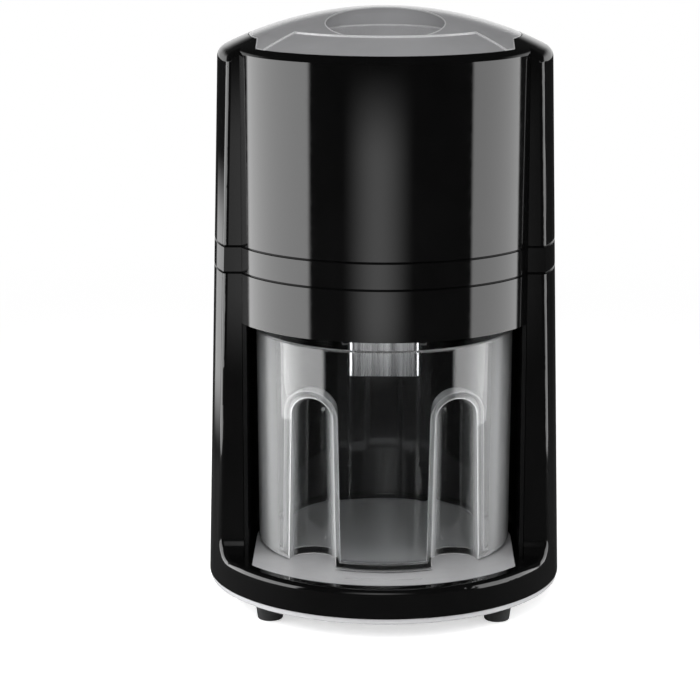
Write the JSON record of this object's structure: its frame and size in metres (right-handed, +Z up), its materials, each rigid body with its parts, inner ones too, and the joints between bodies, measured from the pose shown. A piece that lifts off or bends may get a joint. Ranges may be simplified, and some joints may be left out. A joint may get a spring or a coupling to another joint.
{
  "type": "hand crank ice crusher",
  "caption": "Upright drum that crushes ice by hand: crank at the back, smoky lift-off lid, toothed rotor over a clear slide-out cup with finger flutes.",
  "frame": {"origin": "on the floor, under the middle of the whole length from the ring's front to the knob's end", "axes": "+Z up, -Y to the front where the cup comes out, +X to the right of somebody behind the crusher"},
  "size_m": [0.15, 0.1952, 0.25],
  "materials": {
    "black_gloss": "high gloss",
    "bay_black": "high gloss",
    "hopper_grey": "satin",
    "smoke_clear": "smoky, see-through, polished",
    "cup_clear": "clear, polished",
    "tray_grey": "fine satin",
    "plate_pale": "satin",
    "deck_grey": "satin",
    "rubber_dark": "matt",
    "seal_soft": "matt, soft",
    "screw_steel": "turned",
    "blade_steel": "ground",
    "sheet_steel": "fine brushed",
    "shaft_steel": "turned",
    "cast_frame": "die cast, fine grain",
    "bearing_bronze": "sintered bronze",
    "knob_black": "soft gloss"
  },
  "bodies": {
    "base": {"lower_housing": "black_gloss", "bay_liner": "bay_black", "crusher_deck": "deck_grey", "drip_tray": "tray_grey", "base_plate": "plate_pale", "foot_front_left": "rubber_dark", "foot_front_right": "rubber_dark", "foot_rear_left": "rubber_dark", "foot_rear_right": "rubber_dark", "base_screws": "screw_steel", "crusher_frame": "cast_frame", "fixed_comb_left": "blade_steel", "fixed_comb_right": "blade_steel", "comb_screws": "screw_steel", "frame_screws": "screw_steel", "chute": "sheet_steel", "front_bush": "bearing_bronze", "rear_bush": "bearing_bronze", "housing_bush": "bearing_bronze", "shaft_seal": "rubber_dark"},
    "crank": {"rotor_shaft": "shaft_steel", "crush_blade_1": "blade_steel", "crush_blade_2": "blade_steel", "crush_blade_3": "blade_steel", "crush_blade_4": "blade_steel", "crush_blade_5": "blade_steel", "blade_spacers": "shaft_steel", "thrust_washer": "screw_steel", "retaining_ring": "screw_steel", "drive_insert": "cast_frame", "crank_arm": "black_gloss", "crank_screw": "screw_steel", "knob_axle": "shaft_steel"},
    "knob_grip": {"knob": "knob_black", "knob_cap": "knob_black"},
    "hopper": {"collar_ring": "black_gloss", "upper_housing": "black_gloss", "hopper_liner": "hopper_grey"},
    "lid_top": {"lid": "smoke_clear", "lid_seal": "seal_soft"},
    "cup_body": {"cup": "cup_clear"}
  },
  "joints": [
    {"name": "crank_turn", "type": "hinge", "parent": "base", "child": "crank", "pos_m": [0, 0.05391, 0.133], "axis": [0, 1, 0], "continuous": true},
    {"name": "knob_spin", "type": "hinge", "parent": "crank", "child": "knob_grip", "pos_m": [0, 0.06161, 0.051], "axis": [0, 1, 0], "continuous": true},
    {"name": "hopper_lift", "type": "slide", "parent": "base", "child": "hopper", "axis": [0, 0, 1], "range_m": [0, 0.12]},
    {"name": "lid_lift", "type": "slide", "parent": "hopper", "child": "lid_top", "axis": [0, 0, 1], "range_m": [0, 0.08]},
    {"name": "cup_slide", "type": "slide", "parent": "base", "child": "cup_body", "axis": [0, -1, 0], "range_m": [0, 0.13]}
  ]
}
